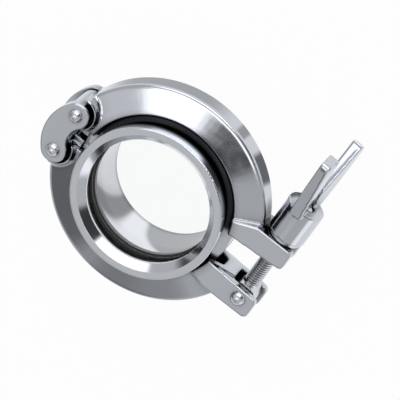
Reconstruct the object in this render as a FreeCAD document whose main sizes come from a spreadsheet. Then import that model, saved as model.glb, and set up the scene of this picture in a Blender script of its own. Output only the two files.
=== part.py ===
import FreeCAD
import Part
import math
import os
import re
import Sketcher

# Clamp sight glass: a round pane in a flanged ring, held on a flanged weld ferrule
# by a hinged two-part pipe clamp with a swing bolt and a wing nut.
# Millimetres. The origin is on the bore axis at the ferrule's weld end, +Z points
# along the bore to the pane, +X points at the swing bolt, +Y along the bolt to its nut.

SIZES = [
    # rear ferrule, turned from bar: tube end, flange with a 20 degree back
    ("tube_outer_radius", 25.4),
    ("tube_wall", 1.9),
    ("ferrule_length", 19.2),
    ("flange_width", 6.6),
    ("flange_rim", 2.85),
    ("flange_angle", 20.0),
    ("root_step", 1.6),
    ("ferrule_root_fillet", 1.2),
    # flat gasket with a round bead that seats in a groove of both flanges
    ("gasket_thickness", 1.7),
    ("gasket_setback", 1.4),
    ("bead_setback", 3.7),
    ("bead_radius", 1.3),
    ("bead_clearance", 0.1),
    # pane and its black seal, which wraps the pane's front edge
    ("glass_inset", 0.5),
    ("glass_thickness", 9.0),
    ("glass_chamfer", 0.4),
    ("seal_face", 1.2),
    ("seal_wall", 0.75),
    ("seal_skirt", 7.1),
    ("seal_clearance", 0.05),
    # front ring: pocket for the pane, inner lip, bevel and flat face
    ("lip_cover", 1.1),
    ("lip_wall", 1.15),
    ("bevel_width", 2.5),
    ("bevel_depth", 2.7),
    ("face_width", 2.9),
    ("face_rim", 4.2),
    ("neck_depth", 1.2),
    ("neck_step", 1.3),
    ("ring_fillet", 0.5),
    # clamp halves, investment cast: band, sloped faces, channel for both flanges
    ("clamp_depth", 9.75),
    ("band_half", 4.25),
    ("lip_overlap", 1.8),
    ("clamp_lip_half", 6.4),
    ("channel_clearance", 0.15),
    ("channel_play", 3.3),
    ("bolt_gap_half", 6.6),
    ("hinge_gap_half", 4.0),
    ("tongue_gap_half", 0.8),
    ("tongue_half", 3.9),
    ("tongue_inset", 2.0),
    ("clamp_edge", 0.6),
    ("lip_flat", 0.8),
    ("cast_root", 3.0),
    # hinge: two kidney links outside the knuckles, and two riveted pins
    ("hinge_inset", 2.8),
    ("hinge_pitch_half", 8.45),
    ("knuckle_radius", 4.4),
    ("knuckle_half", 6.7),
    ("scallop_clearance", 1.0),
    ("scallop_ridge", 1.2),
    ("ridge_base", 2.6),
    ("ridge_crest", 0.5),
    ("web_reach", 7.0),
    ("web_rise", 5.0),
    ("web_lean", 2.0),
    ("link_end_radius", 5.0),
    ("link_bulge", 7.95),
    ("link_waist", 1.85),
    ("link_thickness", 3.4),
    ("link_gap", 0.05),
    ("link_fillet", 0.5),
    ("link_pin_radius", 2.0),
    ("pin_clearance", 0.05),
    ("pressed_clearance", 0.01),
    ("rivet_radius", 2.6),
    ("rivet_height", 1.9),
    # swing bolt side: lug on the upper half, fork on the lower half
    ("bolt_offset", 4.45),
    ("lug_half", 7.4),
    ("lug_beyond", 6.6),
    ("lug_root_rise", 12.0),
    ("lug_seat_rise", 16.4),
    ("lug_seat_run", 9.4),
    ("lug_under_rise", 8.2),
    ("lug_slot_clearance", 0.55),
    ("fork_beyond", 6.4),
    ("fork_top_drop", 8.2),
    ("fork_bottom_drop", 16.9),
    ("fork_root_rise", 2.0),
    ("fork_slot_clearance", 0.2),
    ("fork_slot_run", 5.6),
    ("fork_corner", 2.2),
    ("lug_corner", 1.8),
    ("pivot_drop", 11.6),
    ("bolt_pin_radius", 2.2),
    ("bolt_rivet_radius", 2.8),
    # swing bolt: flat eye, neck and M6 shank
    ("eye_radius", 4.9),
    ("eye_half", 4.2),
    ("bolt_radius", 2.95),
    ("bolt_length", 44.0),
    ("bolt_chamfer", 0.7),
    # washer and wing nut
    ("seat_clearance", 0.3),
    ("washer_radius", 6.3),
    ("washer_thickness", 1.2),
    ("washer_clearance", 0.2),
    ("nut_clearance", 0.05),
    ("nut_gap", 0.05),
    ("hub_radius", 7.25),
    ("hub_length", 14.1),
    ("wing_root_drop", 1.9),
    ("wing_proud", 1.2),
    ("wing_lift", 24.55),
    ("wing_spread", 8.85),
    ("wing_cap_rise", 3.3),
    ("wing_width", 6.6),
    ("wing_foot_inside", 0.1),
    ("wing_foot_outer", 5.2),
    ("wing_foot_inner", 2.4),
    ("wing_tip_outer", 3.8),
    ("wing_tip_inner", 4.8),
    ("wing_turn", 7.0),
    ("wing_tip_radius", 1.6),
]

# Heights and places that several pieces share, each worked out from the sizes.
PLACES = {
    "bore_radius": "(tube_outer_radius - tube_wall)",
    "ferrule_root_radius": "(tube_outer_radius + root_step)",
    "flange_radius": "(tube_outer_radius + flange_width)",
    "gasket_outer_radius": "(flange_radius - gasket_setback)",
    "bead_pitch_radius": "(flange_radius - bead_setback)",
    "glass_radius": "(tube_outer_radius - glass_inset)",
    "lip_bore_radius": "(glass_radius - lip_cover)",
    "bevel_radius": "(lip_bore_radius + bevel_width)",
    "face_radius": "(bevel_radius + face_width)",
    "neck_radius": "(face_radius - neck_depth)",
    "clamp_radius": "(flange_radius + clamp_depth)",
    "clamp_lip_radius": "(flange_radius - lip_overlap)",
    "channel_radius": "(flange_radius + channel_play)",
    "hinge_reach": "(clamp_radius - hinge_inset)",
    "scallop_radius": "(link_end_radius + scallop_clearance)",
    "bolt_reach": "(clamp_radius + bolt_offset)",
    "lug_end": "(bolt_reach + lug_beyond)",
    "lug_seat_start": "(bolt_reach - lug_seat_run)",
    "lug_slot_half": "(bolt_radius + lug_slot_clearance)",
    "fork_end": "(bolt_reach + fork_beyond)",
    "fork_slot_half": "(eye_half + fork_slot_clearance)",
    "fork_slot_start": "(bolt_reach - fork_slot_run)",
    "joint_mid": "(ferrule_length + gasket_thickness / 2)",
    "ring_back": "(ferrule_length + gasket_thickness)",
    "pocket_radius": "(glass_radius + seal_wall + 2 * seal_clearance)",
    "glass_top": "(ring_back + glass_thickness)",
    "pocket_top": "(ring_back + glass_thickness + seal_face)",
    "opening_edge": "(pocket_top + lip_wall)",
    "ring_top": "(pocket_top + lip_wall + bevel_depth)",
    "back_slope": "tan(flange_angle)",
    "channel_rim": "(gasket_thickness / 2 + flange_rim + channel_clearance)",
    "channel_lip": "(channel_rim + (flange_radius - clamp_lip_radius) * back_slope)",
    "channel_floor": "(channel_rim - (channel_radius - flange_radius) * back_slope)",
    "link_inside": "(knuckle_half + link_gap)",
    "link_outside": "(knuckle_half + link_gap + link_thickness)",
    "washer_foot": "(lug_seat_rise + seat_clearance)",
    "hub_foot": "(lug_seat_rise + seat_clearance + washer_thickness + nut_gap)",
    "hub_bore": "(bolt_radius + nut_clearance)",
    "wing_root": "(hub_length - wing_root_drop)",
    "wing_foot_reach": "(hub_radius + wing_proud)",
    "wing_tip_rise": "(hub_length + wing_lift)",
    "wing_tip_reach": "(hub_radius + wing_spread)",
    "wing_top": "(hub_length + wing_lift + wing_cap_rise)",
    "wing_top_inside": "(hub_radius + wing_spread - wing_width)",
}

# Past every piece, for cuts that run right through.
BEYOND = 70.0
# How near an edge or face lies to where it is looked for.
NEAR = 0.02

doc = FreeCAD.newDocument("clamp_sight_glass")
sheet = doc.addObject("Spreadsheet::Sheet", "Sizes")
for row, (alias, size) in enumerate(SIZES, 1):
    sheet.set(f"A{row}", alias)
    sheet.set(f"B{row}", str(size))
    sheet.setAlias(f"B{row}", alias)
doc.recompute()

ALIASES = {alias for alias, size in SIZES}
V = FreeCAD.Vector
UP = V(0, 0, 1)
ALONG_BOLT = FreeCAD.Rotation(V(1, 0, 0), -90)


def formula(text):
    """An expression on the sheet, from a text that uses the names above."""
    text = str(text)
    while any(word in PLACES for word in re.findall(r"\w+", text)):
        text = re.sub(r"\w+", lambda m: PLACES.get(m[0], m[0]), text)
    return re.sub(r"\w+", lambda m: f"Sizes.{m[0]}" if m[0] in ALIASES else m[0], text)


def number(text):
    """The same text as a plain number."""
    found = sheet.evalExpression(formula(text))
    return float(getattr(found, "Value", found))


def bind(thing, **texts):
    """Ties properties of a feature to the sheet."""
    for name, text in texts.items():
        thing.setExpression(name.replace("__", "."), formula(text))


def place(thing, x=0, y=0, z=0, turn=None):
    """Puts a primitive at a place that is tied to the sheet."""
    if turn:
        thing.Placement = FreeCAD.Placement(V(0, 0, 0), turn)
    bind(thing, Placement__Base__x=x, Placement__Base__y=y, Placement__Base__z=z)


def new_body(name):
    body = doc.addObject("PartDesign::Body", name)
    body.Label = name
    return body


def new_sketch(body, name, role, lift=None):
    """An empty sketch on one of the body's own origin planes, lifted off it if asked."""
    sketch = body.newObject("Sketcher::SketchObject", name)
    planes = [p for p in body.Origin.OriginFeatures if p.Role == role]
    sketch.AttachmentSupport = [(planes[0], "")]
    sketch.MapMode = "FlatFace"
    if lift:
        bind(sketch, AttachmentOffset__Base__z=lift)
    return sketch


def pin_point(sketch, edge, end, x, y):
    """Holds one end of an edge at a place that is tied to the sheet."""
    for kind, text in (("DistanceX", x), ("DistanceY", y)):
        fixed = Sketcher.Constraint(kind, -1, 1, edge, end, number(text))
        bind(sketch, **{f"Constraints[{sketch.addConstraint(fixed)}]": text})


def polygon(body, name, role, corners, lift=None):
    """A closed outline of straight lines, with each corner tied to the sheet."""
    sketch = new_sketch(body, name, role, lift)
    points = [V(number(x), number(y), 0) for x, y in corners]
    count = len(points)
    for i in range(count):
        sketch.addGeometry(Part.LineSegment(points[i], points[(i + 1) % count]))
    for i in range(count):
        sketch.addConstraint(Sketcher.Constraint("Coincident", i, 2, (i + 1) % count, 1))
    for i, (x, y) in enumerate(corners):
        pin_point(sketch, i, 1, x, y)
    return sketch


def turned(body, name, corners, kind="Revolution"):
    """A profile of (radius, height) corners, turned about the bore axis."""
    sketch = polygon(body, f"{name}_profile", "XZ_Plane", corners)
    feature = body.newObject(f"PartDesign::{kind}", name)
    feature.Profile = sketch
    feature.ReferenceAxis = (sketch, ["V_Axis"])
    feature.Angle = 360
    return feature


def plate(body, name, corners, half, kind="Pad"):
    """An outline seen along the bore, as thick each side of the joint plane as half."""
    sketch = polygon(body, f"{name}_outline", "XY_Plane", corners, "joint_mid")
    feature = body.newObject(f"PartDesign::{kind}", name)
    feature.Profile = sketch
    feature.SideType = "Symmetric"
    bind(feature, Length=f"2 * {half}")
    return feature


def rod(body, name, kind, radius, length, **spot):
    """A cylinder that is added to a body or cut from it."""
    feature = body.newObject(f"PartDesign::{kind}Cylinder", name)
    place(feature, **spot)
    bind(feature, Radius=radius, Height=length)
    return feature


def block(body, name, kind, length, width, height, **spot):
    """A box that is added to a body or cut from it."""
    feature = body.newObject(f"PartDesign::{kind}Box", name)
    place(feature, **spot)
    bind(feature, Length=length, Width=width, Height=height)
    return feature


def dress(body, name, kind, picked, size):
    """Rounds or chamfers the edges of the body's tip for which picked(edge) holds."""
    doc.recompute()
    tip = body.Tip
    edges = [f"Edge{i}" for i, e in enumerate(tip.Shape.Edges, 1) if picked(e)]
    if not edges:
        raise ValueError(f"{name}: no such edges")
    feature = body.newObject(f"PartDesign::{kind}", name)
    feature.Base = (tip, edges)
    bind(feature, **{"Radius" if kind == "Fillet" else "Size": size})
    return feature


def ring_edge(*circles):
    """Picks full circles about the bore axis, each given as (radius, height)."""
    wanted = [(number(r), number(z)) for r, z in circles]

    def picked(edge):
        curve = edge.Curve
        return isinstance(curve, Part.Circle) and any(
            abs(curve.Radius - r) < NEAR
            and abs(curve.Center.z - z) < NEAR
            and math.hypot(curve.Center.x, curve.Center.y) < NEAR
            for r, z in wanted
        )

    return picked


def straight_edge(way, *spots):
    """Picks straight edges along way whose middle is at one of the (x, y, z) spots.

    A coordinate of None in a spot may be anything."""
    wanted = [[None if c is None else number(c) for c in spot] for spot in spots]

    def picked(edge):
        if not isinstance(edge.Curve, Part.Line):
            return False
        if abs(abs(edge.Curve.Direction * way) - 1) > 1e-6:
            return False
        mid = edge.valueAt((edge.FirstParameter + edge.LastParameter) / 2)
        return any(
            all(c is None or abs(m - c) < NEAR for c, m in zip(spot, mid))
            for spot in wanted
        )

    return picked


# The ferrule: a short tube to weld on, with a flange. The flange's back slopes so
# that the clamp's channel draws the joint together, and its face has a bead groove.
def rear_ferrule():
    body = new_body("rear_ferrule")
    back = "(ferrule_length - flange_rim)"
    root = f"({back} - (flange_radius - ferrule_root_radius) * back_slope)"
    turned(
        body,
        "ferrule_turning",
        [
            ("bore_radius", 0),
            ("tube_outer_radius", 0),
            ("tube_outer_radius", f"{root} - ferrule_root_fillet"),
            ("ferrule_root_radius", root),
            ("flange_radius", back),
            ("flange_radius", "ferrule_length"),
            ("bore_radius", "ferrule_length"),
        ],
    )
    bead_groove(body, "ferrule_length")
    dress(
        body,
        "ferrule_rim_round",
        "Fillet",
        ring_edge(("flange_radius", back), ("flange_radius", "ferrule_length")),
        "ring_fillet",
    )


def bead_groove(body, height):
    """Half-round groove in a flange face, a little larger than the gasket's bead."""
    groove = body.newObject("PartDesign::SubtractiveTorus", f"{body.Name}_bead_groove")
    place(groove, z=height)
    bind(groove, Radius1="bead_pitch_radius", Radius2="bead_radius + bead_clearance")


# The gasket: a flat washer of seal material with a round bead on both faces.
def flange_gasket():
    body = new_body("flange_gasket")
    turned(
        body,
        "gasket_sheet",
        [
            ("bore_radius", "ferrule_length"),
            ("gasket_outer_radius", "ferrule_length"),
            ("gasket_outer_radius", "ring_back"),
            ("bore_radius", "ring_back"),
        ],
    )
    for side in ("ferrule_length", "ring_back"):
        bead = body.newObject("PartDesign::AdditiveTorus", f"gasket_bead_{side}")
        place(bead, z=side)
        bind(bead, Radius1="bead_pitch_radius", Radius2="bead_radius")


# The pane: a toughened disc with ground edges, lying on the flange gasket.
def sight_glass():
    body = new_body("sight_glass")
    rod(body, "glass_disc", "Additive", "glass_radius", "glass_thickness", z="ring_back")
    dress(
        body,
        "glass_ground_edge",
        "Chamfer",
        ring_edge(("glass_radius", "ring_back"), ("glass_radius", "glass_top")),
        "glass_chamfer",
    )


# The seal: a black cap moulded round the pane's front edge and part of its side.
def glass_seal():
    body = new_body("glass_seal")
    inner = "(glass_radius + seal_clearance)"
    outer = "(glass_radius + seal_clearance + seal_wall)"
    turned(
        body,
        "seal_moulding",
        [
            ("lip_bore_radius", "glass_top"),
            (inner, "glass_top"),
            (inner, "glass_top - seal_skirt"),
            (outer, "glass_top - seal_skirt"),
            (outer, "pocket_top"),
            ("lip_bore_radius", "pocket_top"),
        ],
    )


# The front ring: flange like the ferrule's, a pocket for the pane bored from the
# back, and a bevelled rim that stands proud of its neck.
def front_ring():
    body = new_body("front_ring")
    front = "(ring_back + flange_rim)"
    neck = f"({front} + (flange_radius - neck_radius) * back_slope)"
    turned(
        body,
        "ring_turning",
        [
            ("pocket_radius", "ring_back"),
            ("flange_radius", "ring_back"),
            ("flange_radius", front),
            ("neck_radius", neck),
            ("neck_radius", "ring_top - face_rim - neck_step"),
            ("face_radius", "ring_top - face_rim"),
            ("face_radius", "ring_top"),
            ("bevel_radius", "ring_top"),
            ("lip_bore_radius", "opening_edge"),
            ("lip_bore_radius", "pocket_top"),
            ("pocket_radius", "pocket_top"),
        ],
    )
    bead_groove(body, "ring_back")
    dress(
        body,
        "ring_rounds",
        "Fillet",
        ring_edge(
            ("flange_radius", "ring_back"),
            ("flange_radius", front),
            ("face_radius", "ring_top"),
        ),
        "ring_fillet",
    )


def half_ring(body, side):
    """The cast band of one clamp half. side is 1 for the upper half, -1 for the lower."""
    slope = "(clamp_lip_half - band_half) / (clamp_radius - clamp_lip_radius - lip_flat)"
    rise = f"clamp_edge * {slope}"
    turned(
        body,
        f"{body.Name}_band",
        [
            ("bore_radius", "joint_mid - clamp_lip_half"),
            ("clamp_lip_radius + lip_flat", "joint_mid - clamp_lip_half"),
            ("clamp_radius - clamp_edge", f"joint_mid - band_half - {rise}"),
            ("clamp_radius", "joint_mid - band_half + clamp_edge"),
            ("clamp_radius", "joint_mid + band_half - clamp_edge"),
            ("clamp_radius - clamp_edge", f"joint_mid + band_half + {rise}"),
            ("clamp_lip_radius + lip_flat", "joint_mid + clamp_lip_half"),
            ("bore_radius", "joint_mid + clamp_lip_half"),
        ],
    )
    scallop(body, side)
    for word, gap, start, foot in (
        ("bolt_end", "bolt_gap_half", 0, 0),
        ("tongue_end", "tongue_gap_half", -BEYOND, 0),
        ("hinge_outside", "hinge_gap_half", f"tongue_inset - hinge_reach - {BEYOND}", 0),
        ("hinge_front", "hinge_gap_half", -BEYOND, "joint_mid + tongue_half"),
        ("hinge_rear", "hinge_gap_half", -BEYOND, f"joint_mid - tongue_half - {BEYOND}"),
    ):
        block(
            body,
            f"{body.Name}_{word}",
            "Subtractive",
            BEYOND,
            f"{BEYOND} + {gap}",
            BEYOND,
            x=start,
            y=f"-{BEYOND}" if side > 0 else f"-{gap}",
            z=foot,
        )


def scallop(body, side):
    """A raised crescent on both faces of the band, hollowed for the ends of the links."""
    for face in (1, -1):
        ridge = body.newObject("PartDesign::AdditiveCone", f"{body.Name}_ridge_{face + 2}")
        ridge.Placement.Rotation = FreeCAD.Rotation(V(1, 0, 0), 0 if face > 0 else 180)
        bind(
            ridge,
            Placement__Base__x="-hinge_reach",
            Placement__Base__y=f"{side} * hinge_pitch_half",
            Placement__Base__z=f"joint_mid + {face} * band_half",
            Radius1="scallop_radius + ridge_base",
            Radius2="scallop_radius + ridge_crest",
            Height="knuckle_half + scallop_ridge - band_half",
        )
        rod(
            body,
            f"{body.Name}_scallop_{face + 2}",
            "Subtractive",
            "scallop_radius",
            BEYOND,
            x="-hinge_reach",
            y=f"{side} * hinge_pitch_half",
            z="joint_mid + band_half" if face > 0 else f"joint_mid - band_half - {BEYOND}",
        )
    turned(
        body,
        f"{body.Name}_outside_trim",
        [
            ("clamp_radius", f"joint_mid - {BEYOND}"),
            (BEYOND, f"joint_mid - {BEYOND}"),
            (BEYOND, f"joint_mid + {BEYOND}"),
            ("clamp_radius", f"joint_mid + {BEYOND}"),
        ],
        "Groove",
    )


def knuckle(body, side):
    """The hinge eye of a clamp half, and the web that carries it."""
    pin = {"x": "-hinge_reach", "y": f"{side} * hinge_pitch_half"}
    slant = "knuckle_radius / sqrt(2)"
    rod(
        body,
        f"{body.Name}_knuckle",
        "Additive",
        "knuckle_radius",
        "2 * knuckle_half",
        z="joint_mid - knuckle_half",
        **pin,
    )
    plate(
        body,
        f"{body.Name}_knuckle_web",
        [
            ("-hinge_reach", f"{side} * (hinge_pitch_half - knuckle_radius)"),
            ("-hinge_reach + web_reach", f"{side} * (hinge_pitch_half - knuckle_radius)"),
            ("-hinge_reach + web_reach", f"{side} * (hinge_pitch_half + web_rise)"),
            ("-hinge_reach + web_lean", f"{side} * (hinge_pitch_half + web_rise)"),
            (f"-hinge_reach - {slant}", f"{side} * (hinge_pitch_half + {slant})"),
        ],
        "band_half",
    )


def channel(body):
    """The V channel that wedges both flanges together, and the clear bore of the half."""
    turned(
        body,
        f"{body.Name}_channel",
        [
            ("bore_radius", f"joint_mid - {BEYOND}"),
            ("clamp_lip_radius", f"joint_mid - {BEYOND}"),
            ("clamp_lip_radius", "joint_mid - channel_lip"),
            ("channel_radius", "joint_mid - channel_floor"),
            ("channel_radius", "joint_mid + channel_floor"),
            ("clamp_lip_radius", "joint_mid + channel_lip"),
            ("clamp_lip_radius", f"joint_mid + {BEYOND}"),
            ("bore_radius", f"joint_mid + {BEYOND}"),
        ],
        "Groove",
    )


def pin_hole(body, name, x, y, radius):
    rod(
        body,
        name,
        "Subtractive",
        radius,
        2 * BEYOND,
        x=x,
        y=y,
        z=f"joint_mid - {BEYOND}",
    )


# The upper half carries the slotted lug that the washer and nut bear on.
def upper_clamp_half():
    body = new_body("upper_clamp_half")
    half_ring(body, 1)
    plate(
        body,
        "lug",
        [
            ("clamp_lip_radius - cast_root", "bolt_gap_half"),
            ("lug_end", "lug_under_rise"),
            ("lug_end", "lug_seat_rise"),
            ("lug_seat_start", "lug_seat_rise"),
            ("clamp_lip_radius - cast_root", "lug_root_rise"),
        ],
        "lug_half",
    )
    knuckle(body, 1)
    channel(body)
    pin_hole(
        body,
        "upper_knuckle_hole",
        "-hinge_reach",
        "hinge_pitch_half",
        "link_pin_radius + pin_clearance",
    )
    block(
        body,
        "bolt_slot",
        "Subtractive",
        BEYOND,
        "lug_seat_rise",
        "2 * lug_slot_half",
        x="bolt_reach",
        y="bolt_gap_half / 2",
        z="joint_mid - lug_slot_half",
    )
    rod(
        body,
        "bolt_slot_end",
        "Subtractive",
        "lug_slot_half",
        "lug_seat_rise",
        x="bolt_reach",
        y="bolt_gap_half / 2",
        z="joint_mid",
        turn=ALONG_BOLT,
    )
    dress(
        body,
        "lug_corners",
        "Fillet",
        straight_edge(
            UP,
            ("lug_end", "lug_seat_rise", None),
            ("lug_end", "lug_under_rise", None),
        ),
        "lug_corner",
    )


# The lower half carries the fork in which the eye of the swing bolt turns.
def lower_clamp_half():
    body = new_body("lower_clamp_half")
    half_ring(body, -1)
    plate(
        body,
        "fork",
        [
            ("clamp_lip_radius - cast_root", "-bolt_gap_half"),
            ("fork_end", "-fork_top_drop"),
            ("fork_end", "-fork_bottom_drop"),
            ("clamp_lip_radius + cast_root", "-fork_bottom_drop"),
            ("clamp_lip_radius - cast_root", "fork_root_rise - fork_bottom_drop"),
        ],
        "lug_half",
    )
    knuckle(body, -1)
    channel(body)
    pin_hole(
        body,
        "lower_knuckle_hole",
        "-hinge_reach",
        "-hinge_pitch_half",
        "link_pin_radius + pin_clearance",
    )
    pressed = "bolt_pin_radius + pressed_clearance"
    pin_hole(body, "fork_hole", "bolt_reach", "-pivot_drop", pressed)
    block(
        body,
        "fork_slot",
        "Subtractive",
        BEYOND,
        BEYOND,
        "2 * fork_slot_half",
        x="fork_slot_start",
        y=f"-{BEYOND}",
        z="joint_mid - fork_slot_half",
    )
    dress(
        body,
        "fork_corners",
        "Fillet",
        straight_edge(
            UP,
            ("fork_end", "-fork_top_drop", None),
            ("fork_end", "-fork_bottom_drop", None),
        ),
        "fork_corner",
    )


# A link: a kidney-shaped plate that holds both hinge pins. Its outer side is one arc
# that runs into both round ends, and its inner side is hollowed by another.
def link(name, foot):
    body = new_body(name)
    sketch = new_sketch(body, f"{name}_outline", "XY_Plane", foot)
    lean = "(link_bulge - link_end_radius)"
    rise = "(link_end_radius - link_waist)"
    outer_in = f"((hinge_pitch_half ^ 2 - {lean} ^ 2) / (2 * {lean}))"
    inner_in = f"((hinge_pitch_half ^ 2 - {rise} ^ 2) / (2 * {rise}))"
    outer_radius = f"{outer_in} + link_bulge"
    inner_radius = f"{inner_in} - link_waist"
    half = number("hinge_pitch_half")
    end = number("link_end_radius")
    pins = -number("hinge_reach")
    outer_turn = math.atan2(half, number(outer_in))
    inner_turn = math.atan2(half, number(inner_in))
    outer = (pins + number(outer_in), 0, number(outer_radius))
    inner = (pins + number(inner_in), 0, number(inner_radius))
    arcs = [
        (*outer, math.pi - outer_turn, math.pi + outer_turn),
        (pins, -half, end, math.pi + outer_turn, 2 * math.pi + inner_turn),
        (*inner, math.pi - inner_turn, math.pi + inner_turn),
        (pins, half, end, -inner_turn, math.pi - outer_turn),
    ]
    for x, y, radius, start, stop in arcs:
        sketch.addGeometry(Part.ArcOfCircle(Part.Circle(V(x, y, 0), UP, radius), start, stop))
    for one, one_end, other, other_end in ((0, 1, 3, 2), (0, 2, 1, 1), (1, 2, 2, 2), (2, 1, 3, 1)):
        sketch.addConstraint(Sketcher.Constraint("Tangent", one, one_end, other, other_end))
    radii = (outer_radius, "link_end_radius", inner_radius, "link_end_radius")
    for arc, text in enumerate(radii):
        fixed = sketch.addConstraint(Sketcher.Constraint("Radius", arc, number(text)))
        bind(sketch, **{f"Constraints[{fixed}]": text})
    pin_point(sketch, 1, 3, "-hinge_reach", "-hinge_pitch_half")
    pin_point(sketch, 3, 3, "-hinge_reach", "hinge_pitch_half")
    kidney = body.newObject("PartDesign::Pad", f"{name}_plate")
    kidney.Profile = sketch
    bind(kidney, Length="link_thickness")
    pressed = "link_pin_radius + pressed_clearance"
    for word, y in (("low", "-hinge_pitch_half"), ("high", "hinge_pitch_half")):
        pin_hole(body, f"{name}_{word}_hole", "-hinge_reach", y, pressed)
    outside = number(f"{foot} + link_thickness" if name == "front_link" else foot)
    dress(
        body,
        f"{name}_edge_round",
        "Fillet",
        lambda e: abs(e.BoundBox.ZMin - outside) < NEAR
        and abs(e.BoundBox.ZMax - outside) < NEAR
        and e.Curve.Radius > number("link_pin_radius") + NEAR,
        "link_fillet",
    )


# A riveted pin: a plain shank with a domed head formed on each end.
def riveted_pin(name, x, y, half_grip, radius, head_radius):
    body = new_body(name)
    foot = f"joint_mid - {half_grip}"
    rod(body, f"{name}_shank", "Additive", radius, f"2 * {half_grip}", x=x, y=y, z=foot)
    dome = f"(({head_radius} ^ 2 + rivet_height ^ 2) / (2 * rivet_height))"
    edge = f"asin(({dome} - rivet_height) / {dome})"
    for word, face in (("front", 1), ("rear", -1)):
        head = body.newObject("PartDesign::AdditiveSphere", f"{name}_{word}_head")
        place(head, x=x, y=y, z=f"joint_mid + {face} * ({half_grip} + rivet_height - {dome})")
        bind(
            head,
            Radius=dome,
            Angle1=edge if face > 0 else "-90",
            Angle2="90" if face > 0 else f"-{edge}",
        )


# The swing bolt: an eye that turns on the pin in the fork, and a plain M6 shank.
def swing_bolt():
    body = new_body("swing_bolt")
    rod(
        body,
        "bolt_eye",
        "Additive",
        "eye_radius",
        "2 * eye_half",
        x="bolt_reach",
        y="-pivot_drop",
        z="joint_mid - eye_half",
    )
    rod(
        body,
        "bolt_shank",
        "Additive",
        "bolt_radius",
        "bolt_length",
        x="bolt_reach",
        y="-pivot_drop",
        z="joint_mid",
        turn=ALONG_BOLT,
    )
    top = number("bolt_length - pivot_drop")
    dress(
        body,
        "bolt_end_chamfer",
        "Chamfer",
        lambda e: isinstance(e.Curve, Part.Circle) and abs(e.Curve.Center.y - top) < NEAR,
        "bolt_chamfer",
    )
    pin_hole(body, "eye_hole", "bolt_reach", "-pivot_drop", "bolt_pin_radius + pin_clearance")


# The washer that the nut bears on. It spans the open slot of the lug.
def seat_washer():
    body = new_body("seat_washer")
    spot = {"x": "bolt_reach", "y": "washer_foot", "z": "joint_mid", "turn": ALONG_BOLT}
    rod(body, "washer_disc", "Additive", "washer_radius", "washer_thickness", **spot)
    hole = "bolt_radius + washer_clearance"
    rod(body, "washer_hole", "Subtractive", hole, "washer_thickness", **spot)


# The wing nut: a round hub with two upright wings, cast in one piece. It is drawn
# with its foot at the origin and its wings along X, and then set on the bolt. A wing's
# outer face narrows upwards and its inner face widens, as its mould halves part.
def wing_nut():
    body = new_body("wing_nut")
    rod(body, "nut_hub", "Additive", "hub_radius", "hub_length")
    for side in (1, -1):
        sections = []
        for word, height, outside, inside, outer, inner in (
            ("foot", "wing_root", "wing_foot_reach", "wing_foot_inside", "wing_foot_outer", "wing_foot_inner"),
            ("top", "wing_top", "wing_tip_reach", "wing_top_inside", "wing_tip_outer", "wing_tip_inner"),
        ):
            corners = [
                (f"{side} * {inside}", f"-{inner} / 2"),
                (f"{side} * {outside}", f"-{outer} / 2"),
                (f"{side} * {outside}", f"{outer} / 2"),
                (f"{side} * {inside}", f"{inner} / 2"),
            ]
            sections.append(polygon(body, f"wing_{side + 2}_{word}", "XY_Plane", corners, height))
        wing = body.newObject("PartDesign::AdditiveLoft", f"wing_{side + 2}")
        wing.Profile = sections[0]
        wing.Sections = sections[1:]
        wing.Ruled = True
        cap = polygon(
            body,
            f"wing_{side + 2}_cap_outline",
            "XZ_Plane",
            [
                (f"{side} * wing_top_inside", "wing_top"),
                (f"{side} * (wing_tip_reach + wing_width)", "wing_tip_rise - wing_cap_rise"),
                (f"{side} * (wing_tip_reach + wing_width)", "wing_top + wing_cap_rise"),
                (f"{side} * (wing_top_inside - wing_width)", "wing_top + wing_cap_rise"),
                (f"{side} * (wing_top_inside - wing_width)", "wing_top"),
            ],
        )
        cut = body.newObject("PartDesign::Pocket", f"wing_{side + 2}_cap")
        cut.Profile = cap
        cut.SideType = "Symmetric"
        bind(cut, Length="4 * wing_width")
    dress(
        body,
        "wing_tip_rounds",
        "Fillet",
        lambda e: e.BoundBox.XLength < NEAR * 2
        and e.BoundBox.ZLength < NEAR * 2
        and e.BoundBox.ZMin > number("hub_length")
        and abs(e.BoundBox.Center.x) > number("wing_top_inside") + NEAR,
        "wing_tip_radius",
    )
    rod(body, "nut_thread_bore", "Subtractive", "hub_bore", BEYOND)
    place(body, x="bolt_reach", y="hub_foot", z="joint_mid")
    turn = FreeCAD.Rotation(V(0, 1, 0), -number("wing_turn"))
    body.Placement.Rotation = turn * FreeCAD.Rotation(V(1, 1, 1), -120)


rear_ferrule()
flange_gasket()
sight_glass()
glass_seal()
front_ring()
upper_clamp_half()
lower_clamp_half()
link("front_link", "joint_mid + link_inside")
link("rear_link", "joint_mid - link_outside")
for name, side in (("upper_link_pin", "hinge_pitch_half"), ("lower_link_pin", "-hinge_pitch_half")):
    riveted_pin(name, "-hinge_reach", side, "link_outside", "link_pin_radius", "rivet_radius")
swing_bolt()
riveted_pin(
    "swing_bolt_pin",
    "bolt_reach",
    "-pivot_drop",
    "lug_half",
    "bolt_pin_radius",
    "bolt_rivet_radius",
)
seat_washer()
wing_nut()
doc.recompute()

failed = [thing.Name for thing in doc.Objects if {"Invalid", "Error"} & set(thing.State)]
if failed:
    raise ValueError(f"these did not build: {failed}")

bodies = doc.findObjects("PartDesign::Body")
for body in bodies:
    if body.Shape.isNull() or not body.Shape.isValid() or len(body.Shape.Solids) != 1:
        raise ValueError(f"{body.Label} is not one sound solid")

os.makedirs("parts", exist_ok=True)
for body in bodies:
    body.Shape.exportStep(f"parts/{body.Label}.step")
    print(f"{body.Label:18} {body.Shape.Volume:9.1f} mm3")
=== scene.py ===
import math

import bpy
from mathutils import Matrix, Vector


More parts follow.
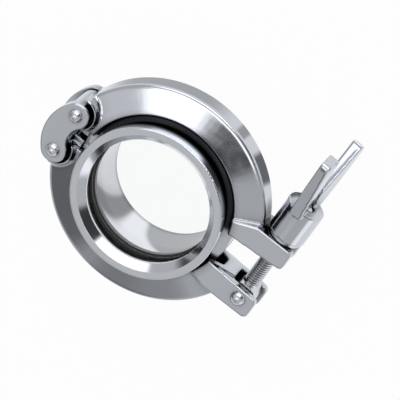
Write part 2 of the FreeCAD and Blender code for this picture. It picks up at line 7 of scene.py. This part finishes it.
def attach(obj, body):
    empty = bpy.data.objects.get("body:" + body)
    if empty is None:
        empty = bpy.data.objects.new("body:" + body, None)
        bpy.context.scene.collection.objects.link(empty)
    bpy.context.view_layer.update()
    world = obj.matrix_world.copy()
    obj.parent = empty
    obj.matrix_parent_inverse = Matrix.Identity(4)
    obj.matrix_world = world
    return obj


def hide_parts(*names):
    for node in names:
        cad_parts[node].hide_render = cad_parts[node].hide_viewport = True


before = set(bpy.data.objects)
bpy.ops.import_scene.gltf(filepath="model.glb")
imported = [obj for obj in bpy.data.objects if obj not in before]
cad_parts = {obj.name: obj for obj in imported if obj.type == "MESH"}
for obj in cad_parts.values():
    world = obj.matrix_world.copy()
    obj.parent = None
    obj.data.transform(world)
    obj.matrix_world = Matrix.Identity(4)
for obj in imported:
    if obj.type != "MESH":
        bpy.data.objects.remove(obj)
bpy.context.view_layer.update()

# The camera looks down on the front of the sight glass from beyond its wing nut, through
# a long lens. It is turned on its own axis as the photographer's view is.
LOOKED_AT = Vector((0.01389, 0.00641, 0.01937))
CAMERA_RIGHT = Vector((0.7871, 0.5009, -0.3599)).normalized()
CAMERA_BACK = Vector((0.0730, 0.5038, 0.8607)).normalized()
CAMERA_DISTANCE = 1.5
SEEN_WIDTH = 0.14363
camera_up = CAMERA_BACK.cross(CAMERA_RIGHT).normalized()
camera_right = camera_up.cross(CAMERA_BACK)
bpy.ops.object.camera_add(location=LOOKED_AT + CAMERA_BACK * CAMERA_DISTANCE)
camera = bpy.context.object
camera.rotation_euler = Matrix((camera_right, camera_up, CAMERA_BACK)).transposed().to_euler()
camera.data.lens = camera.data.sensor_width * CAMERA_DISTANCE / SEEN_WIDTH
camera.data.clip_start = 0.1
camera.data.clip_end = 10
bpy.context.scene.camera = camera
bpy.context.scene.view_settings.view_transform = "Standard"


# The floor: a plain white table that the fitting stands on by its weld end. It is wide
# enough to fill every view, and seen directly it is as white as the studio behind it. In
# the metal's reflections its glow carries painted reflections, lighter and darker patches
# round the fitting, and a painted shadow of the tube on the floor inside it.
def linear(hex_colour):
    """An sRGB hex colour as linear values."""
    parts = [int(hex_colour[i : i + 2], 16) / 255 for i in (1, 3, 5)]
    return tuple(c / 12.92 if c <= 0.04045 else ((c + 0.055) / 1.055) ** 2.4 for c in parts) + (1.0,)


def node(tree, kind, links=None, **settings):
    """Adds a shader node, with its settings by name and its inputs by number or name."""
    made = tree.nodes.new(kind)
    for name, value in settings.items():
        setattr(made, name, value)
    for socket, value in (links or {}).items():
        if isinstance(value, bpy.types.NodeSocket):
            tree.links.new(value, made.inputs[socket])
        else:
            made.inputs[socket].default_value = value
    return made


def new_material(name):
    """An empty material and its node tree."""
    made = bpy.data.materials.new(name)
    made.use_nodes = True
    made.node_tree.nodes.clear()
    return made, made.node_tree


def patches(tree, way, level, listing):
    """A level that changes towards some directions: each (direction, core, edge, level)."""
    for toward, core, edge, inside in listing:
        near = node(
            tree,
            "ShaderNodeVectorMath",
            {0: way, 1: Vector(toward).normalized()},
            operation="DOT_PRODUCT",
        )
        share = node(
            tree,
            "ShaderNodeMapRange",
            {
                "Value": near.outputs["Value"],
                "From Min": math.cos(math.radians(edge)),
                "From Max": math.cos(math.radians(core)),
            },
            interpolation_type="SMOOTHSTEP",
        )
        level = node(tree, "ShaderNodeMix", {0: share.outputs[0], 2: level, 3: inside}).outputs[0]
    return level


FLOOR_COLOUR = "#F4F4F4"
FLOOR_SIZE = 6.0
FLOOR_GLOW = 0.96
MIRRORED_GLOW = 0.95
# Painted reflections: darker patches in the floor's glow round the clamp, seen only in the metal.
PAINTED_REFLECTION_PATCHES = [
    ((-0.55, 0.84, 0.0), 22.0, 45.0, 0.55),
    ((0.70, 0.71, 0.0), 7.0, 12.0, 0.18),
    ((0.33, 0.94, 0.0), 2.0, 5.0, 0.45),
]
UNDER_TUBE = 0.0234
CLAMP_REACH = 0.059
# Painted shadow of the tube on the floor inside it, with painted reflection streaks, seen only in the
# bore.
PAINTED_TUBE_SHADOW_GLOW = 0.55
PAINTED_TUBE_STREAKS = [
    ((-0.85, -0.53, 0.0), 16.0, 34.0, 0.85),
    ((-0.36, -0.93, 0.0), 4.0, 10.0, 0.30),
    ((-0.05, -1.0, 0.0), 5.0, 11.0, 1.2),
]
bpy.ops.mesh.primitive_plane_add(size=FLOOR_SIZE, location=(0, 0, 0))
floor = bpy.context.object
floor.name = "studio_floor"
floor_white, tree = new_material("painted_white_table")
paint = node(tree, "ShaderNodeBsdfDiffuse", {"Color": linear(FLOOR_COLOUR)})
ray = node(tree, "ShaderNodeLightPath")
direct = node(
    tree,
    "ShaderNodeMath",
    {0: ray.outputs["Is Camera Ray"], 1: ray.outputs["Is Transmission Ray"]},
    operation="MAXIMUM",
)
seen = node(
    tree,
    "ShaderNodeMath",
    {0: direct.outputs[0], 1: ray.outputs["Is Glossy Ray"]},
    operation="MAXIMUM",
)
share = node(tree, "ShaderNodeMath", {0: seen.outputs[0], 1: FLOOR_GLOW}, operation="MULTIPLY")
place = node(tree, "ShaderNodeTexCoord").outputs["Object"]
reach = node(tree, "ShaderNodeVectorMath", {0: place}, operation="LENGTH").outputs["Value"]
toward = node(tree, "ShaderNodeVectorMath", {0: place}, operation="NORMALIZE").outputs[0]
outside = node(tree, "ShaderNodeMath", {0: reach, 1: UNDER_TUBE}, operation="GREATER_THAN")
beyond = node(tree, "ShaderNodeMath", {0: reach, 1: CLAMP_REACH}, operation="GREATER_THAN")
# The glow that reflections see, with the painted shadow and painted reflection patches in it.
painted_reflection_level = node(
    tree,
    "ShaderNodeMix",
    {
        0: outside.outputs[0],
        2: patches(tree, toward, PAINTED_TUBE_SHADOW_GLOW, PAINTED_TUBE_STREAKS),
        3: patches(tree, toward, MIRRORED_GLOW, PAINTED_REFLECTION_PATCHES),
    },
)
painted_reflection_level = node(
    tree, "ShaderNodeMix", {0: beyond.outputs[0], 2: painted_reflection_level.outputs[0], 3: MIRRORED_GLOW}
)
strength = node(tree, "ShaderNodeMix", {0: direct.outputs[0], 2: painted_reflection_level.outputs[0], 3: 1.0})
glow = node(tree, "ShaderNodeEmission", {"Color": (1, 1, 1, 1), "Strength": strength.outputs[0]})
mixed = node(
    tree, "ShaderNodeMixShader", {0: share.outputs[0], 1: paint.outputs[0], 2: glow.outputs[0]}
)
node(tree, "ShaderNodeOutputMaterial", {"Surface": mixed.outputs[0]})
floor.data.materials.append(floor_white)

# The studio: an even pale room. Metal sees its light panels as white and its unlit walls and
# the photographer's side as soft greys. The camera and the pane see plain white.
world = bpy.data.worlds.new("soft_studio")
bpy.context.scene.world = world
world.use_nodes = True
tree = world.node_tree
tree.nodes.clear()
way = node(tree, "ShaderNodeTexCoord")
ROOM_LEVEL = 0.55
PANELS = [
    ((-0.07, -0.50, 0.86), 5.0, 14.0, 0.62),
    ((0.04, -0.155, 0.987), 5.5, 8.5, 0.06),
    ((-0.215, -0.165, 0.963), 6.5, 8.5, 1.9),
    ((-0.37, -0.33, 0.866), 5.0, 9.0, 0.75),
    ((-0.29, -0.71, 0.64), 7.0, 12.0, 0.16),
    ((0.03, -0.79, 0.61), 7.0, 12.0, 0.34),
    ((0.60, 0.67, 0.40), 16.0, 26.0, 0.05),
    ((-0.50, 0.75, 0.40), 14.0, 26.0, 1.9),
    ((-0.88, -0.45, 0.0), 16.0, 34.0, 0.06),
    ((0.85, -0.50, 0.08), 10.0, 24.0, 1.2),
    ((0.0, -0.885, 0.46), 6.0, 11.0, 0.20),
    ((-0.30, 0.03, 0.95), 6.0, 10.0, 1.9),
    ((-0.07, 0.03, 1.00), 6.0, 9.0, 1.9),
    ((0.16, 0.03, 0.98), 6.0, 10.0, 1.9),
    ((-0.07, 0.86, 0.50), 14.0, 24.0, 2.2),
]
level = patches(tree, way.outputs["Generated"], ROOM_LEVEL, PANELS)
ray = node(tree, "ShaderNodeLightPath")
seen = node(
    tree,
    "ShaderNodeMath",
    {0: ray.outputs["Is Camera Ray"], 1: ray.outputs["Is Transmission Ray"]},
    operation="MAXIMUM",
)
level = node(tree, "ShaderNodeMix", {0: seen.outputs[0], 2: level, 3: 1.0}).outputs[0]
room = node(tree, "ShaderNodeBackground", {"Color": (1, 1, 1, 1), "Strength": level})
node(tree, "ShaderNodeOutputWorld", {"Surface": room.outputs[0]})

# The rear ferrule: a short tube with a flange, turned from stainless bar and polished. It is
# welded to the line by its tube end, and the flange carries the gasket, pane and ring.
def smooth_normal(tree, edge_mm, ripples):
    """A normal with eased edges and low ripples, each of them (spacing mm, height micron)."""
    way = node(tree, "ShaderNodeTexCoord")
    normal = node(tree, "ShaderNodeNewGeometry").outputs["Normal"]
    if edge_mm:
        normal = node(tree, "ShaderNodeBevel", {"Radius": edge_mm / 1000}, samples=6).outputs[0]
    for spacing, height in ripples:
        noise = node(
            tree,
            "ShaderNodeTexNoise",
            {
                "Vector": way.outputs["Object"],
                "Scale": 1000 / spacing,
                "Detail": 1.0,
                "Roughness": 0.4,
            },
        )
        normal = node(
            tree,
            "ShaderNodeBump",
            {"Strength": 1.0, "Distance": height / 1e6, "Height": noise.outputs[0], "Normal": normal},
        ).outputs[0]
    return way, normal


def painted_crease_shade(tree, colour, shade_colour, depth_mm, fully_shaded=0.25, unshaded=0.85):
    """A metal's colour with painted shade: darker in its creases and beside other parts."""
    occlusion = node(tree, "ShaderNodeAmbientOcclusion", {"Distance": depth_mm / 1000}, samples=6)
    share = node(
        tree,
        "ShaderNodeMapRange",
        {"Value": occlusion.outputs["AO"], "From Min": fully_shaded, "From Max": unshaded},
        interpolation_type="SMOOTHSTEP",
    )
    mixed = node(
        tree,
        "ShaderNodeMix",
        {0: share.outputs[0], 6: linear(shade_colour), 7: linear(colour)},
        data_type="RGBA",
    )
    return mixed.outputs[2]


def bore_reach(tree, place):
    """How far a point of the piece lies from the bore's axis."""
    flat = node(tree, "ShaderNodeVectorMath", {0: place, 1: (1, 1, 0)}, operation="MULTIPLY")
    return node(tree, "ShaderNodeVectorMath", {0: flat.outputs[0]}, operation="LENGTH").outputs["Value"]


def ramp(tree, value, low_mm, high_mm):
    """0 at the first length and 1 at the second, eased between them."""
    return node(
        tree,
        "ShaderNodeMapRange",
        {"Value": value, "From Min": low_mm / 1000, "From Max": high_mm / 1000},
        interpolation_type="SMOOTHSTEP",
    ).outputs[0]


def polished_metal(tree, share, dull, colour, shine, normal):
    """A metal's shader: dull and painted dark as shade where share is 0, and polished where it is 1."""
    tint = node(tree, "ShaderNodeMix", {0: share, 6: linear(dull), 7: colour}, data_type="RGBA")
    rough = node(tree, "ShaderNodeMix", {0: share, 2: 0.3, 3: shine})
    shader = node(
        tree,
        "ShaderNodeBsdfPrincipled",
        {
            "Base Color": tint.outputs[2],
            "Metallic": 1.0,
            "Roughness": rough.outputs[0],
            "Normal": normal,
        },
    )
    node(tree, "ShaderNodeOutputMaterial", {"Surface": shader.outputs[0]})


def patchy(tree, way, patch_mm, detail, low, high):
    """A value that drifts between low and high in patches of a size."""
    noise = node(
        tree,
        "ShaderNodeTexNoise",
        {"Vector": way.outputs["Object"], "Scale": 1000 / patch_mm, "Detail": detail},
    )
    drift = node(tree, "ShaderNodeMapRange", {"Value": noise.outputs[0], "To Min": low, "To Max": high})
    return drift.outputs[0]


TURNED_STEEL = "#D9DCE2"
# Painted shade: the turned steel's creases and the places beside other parts are drawn towards this
# dark colour.
TURNED_PAINTED_SHADE = "#26262A"
TURNED_SHADE_DEPTH = 4.0
TURNED_EDGE = 0.3
TOOL_MARK = 0.25
# Painted shade: the front ring's neck behind its rim is drawn in this dark, dull colour.
PAINTED_NECK_SHADE = "#303237"
NECK_REACH = 26.8
NECK_TOP = 31.0
RIM_TOP = 34.2
FERRULE_TOP = 20.5
HALVES_END = 6.6


def turned_steel(name):
    """Polished bar with tool marks, and painted shade: dark and dull on the front ring's neck, between
    the halves' ends.
    """
    material, tree = new_material(name)
    way, normal = smooth_normal(tree, TURNED_EDGE, [(7.0, 6.0)])
    scale = 2 * math.pi / (20 * TOOL_MARK / 1000)
    marks = node(
        tree,
        "ShaderNodeTexWave",
        {"Vector": way.outputs["Object"], "Scale": scale, "Distortion": 1.0},
        wave_type="RINGS",
        rings_direction="Z",
    )
    shine = node(
        tree,
        "ShaderNodeMapRange",
        {"Value": marks.outputs["Fac"], "To Min": 0.07, "To Max": 0.13},
    )
    place = node(tree, "ShaderNodeSeparateXYZ", {0: way.outputs["Object"]})
    share = ramp(tree, bore_reach(tree, way.outputs["Object"]), NECK_REACH, NECK_REACH - 0.3)
    aside = node(tree, "ShaderNodeMath", {0: place.outputs[1]}, operation="ABSOLUTE")
    for value, dull, bright in (
        (place.outputs[2], NECK_TOP, RIM_TOP),
        (place.outputs[2], FERRULE_TOP, FERRULE_TOP - 0.1),
        (aside.outputs[0], HALVES_END + 1.0, HALVES_END - 1.0),
    ):
        more = ramp(tree, value, dull, bright)
        share = node(tree, "ShaderNodeMath", {0: share, 1: more}, operation="MAXIMUM").outputs[0]
    colour = painted_crease_shade(tree, TURNED_STEEL, TURNED_PAINTED_SHADE, TURNED_SHADE_DEPTH)
    polished_metal(tree, share, PAINTED_NECK_SHADE, colour, shine.outputs[0], normal)
    return material


turned = turned_steel("turned_stainless_steel")


def finish_node(name, material):
    """Gives a CAD solid its finish."""
    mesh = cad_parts[name].data
    mesh.materials.clear()
    mesh.materials.append(material)


finish_node("rear_ferrule", turned)

# The flange gasket: a thin white PTFE ring with a bead that seats in the groove of both
# flanges. It is cut and pressed from sheet, so it is matte with a faint grain.
GASKET_WHITE = "#DDDFE2"
GASKET_SHADE = "#CBCED2"
ptfe, tree = new_material("pressed_white_ptfe")
way, normal = smooth_normal(tree, 0.15, [(0.6, 8.0)])
grain = node(
    tree,
    "ShaderNodeTexNoise",
    {"Vector": way.outputs["Object"], "Scale": 1000 / 2.5, "Detail": 3.0},
)
tint = node(
    tree,
    "ShaderNodeMix",
    {0: grain.outputs[0], 6: linear(GASKET_WHITE), 7: linear(GASKET_SHADE)},
    data_type="RGBA",
)
shader = node(
    tree,
    "ShaderNodeBsdfPrincipled",
    {"Base Color": tint.outputs[2], "Roughness": 0.42, "IOR": 1.35, "Normal": normal},
)
node(tree, "ShaderNodeOutputMaterial", {"Surface": shader.outputs[0]})
finish_node("flange_gasket", ptfe)

# The pane: clear toughened glass, 9 mm thick, clamped against the ferrule. Its faces are
# polished. Its rim is ground and pressed into the seal, whose black shows through the glass.
GLASS_TINT = "#FDFEFE"
GLASS_IOR = 1.52
GROUND_FROM = 24.6
RIM_BLACK = "#040508"
glass, tree = new_material("toughened_clear_glass")
way = node(tree, "ShaderNodeTexCoord")
reach = bore_reach(tree, way.outputs["Object"])
rim = node(tree, "ShaderNodeMath", {0: reach, 1: GROUND_FROM / 1000}, operation="GREATER_THAN")
clear = node(
    tree,
    "ShaderNodeBsdfPrincipled",
    {
        "Base Color": linear(GLASS_TINT),
        "Roughness": 0.0,
        "IOR": GLASS_IOR,
        "Specular IOR Level": 0.3,
        "Transmission Weight": 1.0,
    },
)
dull = patchy(tree, way, 2.0, 2.0, 0.5, 0.8)
held = node(
    tree,
    "ShaderNodeBsdfPrincipled",
    {"Base Color": linear(RIM_BLACK), "Roughness": dull, "Specular IOR Level": 0.05},
)
surface = node(
    tree, "ShaderNodeMixShader", {0: rim.outputs[0], 1: clear.outputs[0], 2: held.outputs[0]}
)
node(tree, "ShaderNodeOutputMaterial", {"Surface": surface.outputs[0]})
finish_node("sight_glass", glass)

# The pane's seal: a moulded black rubber ring that wraps the rim and the front edge of the
# glass. Seen through the thick pane it is the black crescent inside the ring.
SEAL_BLACK = "#07080B"
seal_rubber, tree = new_material("moulded_black_rubber")
way, normal = smooth_normal(tree, 0.15, [(0.5, 6.0)])
dull = patchy(tree, way, 3.0, 2.0, 0.45, 0.65)
shader = node(
    tree,
    "ShaderNodeBsdfPrincipled",
    {
        "Base Color": linear(SEAL_BLACK),
        "Roughness": dull,
        "Specular IOR Level": 0.2,
        "Normal": normal,
    },
)
node(tree, "ShaderNodeOutputMaterial", {"Surface": shader.outputs[0]})
finish_node("glass_seal", seal_rubber)

# The front ring: turned from the same bar as the ferrule, with a bevel round the opening and
# a flat polished face. It presses the seal and the pane against the ferrule's flange. Its
# neck behind the rim is painted dark and dull: painted shade of the gap under the rim.
finish_node("front_ring", turned)

# The clamp halves: investment cast stainless steel, tumbled and then polished. That leaves
# rounded edges and slow waves in the faces, so reflections in them bend. The bore inside the
# lips is painted dark and dull as shade.
CAST_STEEL = "#CDD1D8"
# Painted shade: the cast steel's creases and the lips' bore are drawn towards this dark colour.
CAST_PAINTED_SHADE = "#1E1E22"
CAST_SHADE_DEPTH = 6.0
CAST_FULLY_SHADED = 0.35
CAST_UNSHADED = 1.0
# Painted shade: inside this radius, in the lips' bore, the cast steel is drawn dark and dull.
LIP_BORE = 30.2
cast_steel, tree = new_material("tumbled_cast_stainless_steel")
way, normal = smooth_normal(tree, 0.0, [(9.0, 14.0), (1.6, 1.0)])
shine = patchy(tree, way, 4.0, 3.0, 0.07, 0.16)
share = ramp(tree, bore_reach(tree, way.outputs["Object"]), LIP_BORE + 0.3, LIP_BORE + 1.1)
colour = painted_crease_shade(tree, CAST_STEEL, CAST_PAINTED_SHADE, CAST_SHADE_DEPTH, CAST_FULLY_SHADED, CAST_UNSHADED)
polished_metal(tree, share, CAST_PAINTED_SHADE, colour, shine, normal)


def merged_copy(solid_name, name):
    """A copy of a CAD solid as a piece of its own, with its loose triangles joined."""
    bpy.ops.object.select_all(action="DESELECT")
    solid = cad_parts[solid_name]
    solid.select_set(True)
    bpy.context.view_layer.objects.active = solid
    bpy.ops.object.duplicate()
    piece = bpy.context.object
    piece.name = name
    bpy.ops.object.mode_set(mode="EDIT")
    bpy.ops.mesh.select_all(action="SELECT")
    bpy.ops.mesh.customdata_custom_splitnormals_clear()
    bpy.ops.mesh.remove_doubles(threshold=0.000002)
    bpy.ops.object.mode_set(mode="OBJECT")
    return piece


def tumbled_cast(solid_name, name, body, voxel_mm, easing):
    """A cast piece whose edges tumbling has rounded: the solid, remeshed and then eased."""
    piece = merged_copy(solid_name, name)
    skin = piece.modifiers.new("casting_skin", "REMESH")
    skin.mode = "VOXEL"
    skin.voxel_size = voxel_mm / 1000
    bpy.ops.object.modifier_apply(modifier="casting_skin")
    ease = piece.modifiers.new("tumbled_edges", "SMOOTH")
    ease.factor = 0.5
    ease.iterations = easing
    bpy.ops.object.modifier_apply(modifier="tumbled_edges")
    bpy.ops.object.shade_smooth()
    piece.data.materials.clear()
    piece.data.materials.append(cast_steel)
    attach(piece, body)
    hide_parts(solid_name)
    return piece


HALF_VOXEL = 0.38
HALF_EASING = 10
for solid_name, name, body in (
    ("upper_clamp_half", "upper_half_cast", "sight_glass_and_upper_half"),
    ("lower_clamp_half", "lower_half_cast", "lower_half"),
):
    tumbled_cast(solid_name, name, body, HALF_VOXEL, HALF_EASING)

# The two kidney links: flat castings of the same steel that join the halves at the hinge,
# one in front of the knuckles and one behind.
LINK_VOXEL = 0.2
LINK_EASING = 8
tumbled_cast("front_link", "front_link_cast", "links", LINK_VOXEL, LINK_EASING)
tumbled_cast("rear_link", "rear_link_cast", "links", LINK_VOXEL, LINK_EASING)

# The two pins of the links and the pin of the swing bolt: stainless rivets, cold headed, with
# domed ends that are bright from the heading tool.
RIVET_STEEL = "#D8DADF"
rivet_steel, tree = new_material("cold_headed_stainless_steel")
way, normal = smooth_normal(tree, 0.0, [(2.5, 2.0)])
shine = patchy(tree, way, 1.5, 2.0, 0.20, 0.30)
shader = node(
    tree,
    "ShaderNodeBsdfPrincipled",
    {
        "Base Color": linear(RIVET_STEEL),
        "Metallic": 1.0,
        "Roughness": shine,
        "Normal": normal,
    },
)
node(tree, "ShaderNodeOutputMaterial", {"Surface": shader.outputs[0]})
for pin in ("upper_link_pin", "lower_link_pin", "swing_bolt_pin"):
    finish_node(pin, rivet_steel)

# The swing bolt: a forged eye on an M6 stainless shank, with its thread rolled along the
# whole shank. The eye is the CAD solid's own, cut off below the thread.
BOLT_X = 0.0462
BOLT_Z = 0.02005
EYE_TOP = -0.0062
SHANK_TOP = 0.0318
TIP_RISE = 0.0006
TIP_SHARE = 0.78
PITCH = 0.001
CREST = 0.00295
ROOT = 0.00235
THREAD_FLANK = [(0.00040, CREST), (0.00052, CREST), (0.00092, ROOT), (0.00100, ROOT)]

eye = merged_copy("swing_bolt", "swing_bolt_eye")
bpy.ops.object.mode_set(mode="EDIT")
bpy.ops.mesh.select_all(action="SELECT")
bpy.ops.mesh.bisect(
    plane_co=(0, EYE_TOP, 0), plane_no=(0, 1, 0), use_fill=True, clear_outer=True
)
bpy.ops.object.mode_set(mode="OBJECT")
bpy.ops.object.shade_smooth_by_angle(angle=math.radians(30))
eye.data.materials.clear()
eye.data.materials.append(rivet_steel)
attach(eye, "bolt")

# The thread's roots get painted shade, so they are dark between bright crests.
THREAD_ROOT_SHADE = "#141417"
THREAD_SHADE_DEPTH = 1.1
rolled_steel, tree = new_material("rolled_thread_stainless_steel")
way = node(tree, "ShaderNodeTexCoord")
shine = patchy(tree, way, 1.0, 2.0, 0.10, 0.22)
shader = node(
    tree,
    "ShaderNodeBsdfPrincipled",
    {
        "Base Color": painted_crease_shade(tree, RIVET_STEEL, THREAD_ROOT_SHADE, THREAD_SHADE_DEPTH),
        "Metallic": 1.0,
        "Roughness": shine,
    },
)
node(tree, "ShaderNodeOutputMaterial", {"Surface": shader.outputs[0]})
bpy.ops.object.select_all(action="DESELECT")
bpy.ops.mesh.primitive_plane_add(size=PITCH, location=(0, 0, 0))
thread = bpy.context.object
thread.name = "swing_bolt_thread"
bpy.ops.object.mode_set(mode="EDIT")
bpy.ops.mesh.select_all(action="SELECT")
bpy.ops.mesh.merge(type="CENTER")
turn_start = EYE_TOP - 2 * PITCH
bpy.ops.transform.translate(value=(ROOT, turn_start, 0))
rise, reach = 0.0, ROOT
for next_rise, next_reach in THREAD_FLANK:
    step = (next_reach - reach, next_rise - rise, 0)
    bpy.ops.mesh.extrude_vertices_move(TRANSFORM_OT_translate={"value": step})
    rise, reach = next_rise, next_reach
bpy.ops.object.mode_set(mode="OBJECT")
turns = thread.modifiers.new("rolled_thread", "SCREW")
turns.axis = "Y"
turns.angle = 2 * math.pi
turns.screw_offset = PITCH
turns.iterations = round((SHANK_TOP - turn_start) / PITCH) + 2
turns.steps = 40
turns.render_steps = 40
turns.use_merge_vertices = True
turns.merge_threshold = 0.000005
bpy.ops.object.modifier_apply(modifier="rolled_thread")
bpy.ops.object.mode_set(mode="EDIT")
bpy.ops.mesh.select_all(action="SELECT")
bpy.ops.mesh.remove_doubles(threshold=0.000005)
bpy.ops.transform.translate(value=(BOLT_X, 0, BOLT_Z))
bpy.ops.mesh.bisect(
    plane_co=(0, EYE_TOP - 0.3 * PITCH, 0), plane_no=(0, 1, 0), use_fill=True, clear_inner=True
)
bpy.ops.mesh.select_all(action="SELECT")
bpy.ops.mesh.bisect(
    plane_co=(0, SHANK_TOP, 0), plane_no=(0, 1, 0), use_fill=True, clear_outer=True
)
bpy.ops.mesh.extrude_region_move(TRANSFORM_OT_translate={"value": (0, TIP_RISE, 0)})
bpy.ops.transform.resize(
    value=(TIP_SHARE, 1, TIP_SHARE), center_override=(BOLT_X, SHANK_TOP + TIP_RISE, BOLT_Z)
)
bpy.ops.mesh.select_all(action="SELECT")
bpy.ops.mesh.normals_make_consistent(inside=False)
bpy.ops.object.mode_set(mode="OBJECT")
bpy.ops.object.shade_smooth_by_angle(angle=math.radians(25))
thread.data.materials.append(rolled_steel)
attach(thread, "bolt")
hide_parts("swing_bolt")
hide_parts("swing_bolt")

# The seat washer: a plain washer, punched from stainless sheet and barrel polished. It lies
# between the nut and the upper lug.
finish_node("seat_washer", rivet_steel)

# The wing nut: one investment casting with a round hub and two long splayed wings. Tumbling
# has rounded every edge of it, so the copy of the solid is remeshed and eased.
NUT_VOXEL = 0.28
NUT_EASING = 24
TIP_EASING = 26
TIP_FROM = 0.046
TIP_WHOLE = 0.055
nut = tumbled_cast("wing_nut", "wing_nut_cast", "nut", NUT_VOXEL, NUT_EASING)
tips = nut.vertex_groups.new(name="wing_tips")
for vertex in nut.data.vertices:
    share = (vertex.co.y - TIP_FROM) / (TIP_WHOLE - TIP_FROM)
    if share > 0:
        tips.add([vertex.index], min(share, 1.0), "REPLACE")
bpy.context.view_layer.objects.active = nut
spoon = nut.modifiers.new("worn_wing_tips", "SMOOTH")
spoon.factor = 0.5
spoon.iterations = TIP_EASING
spoon.vertex_group = "wing_tips"
bpy.ops.object.modifier_apply(modifier="worn_wing_tips")
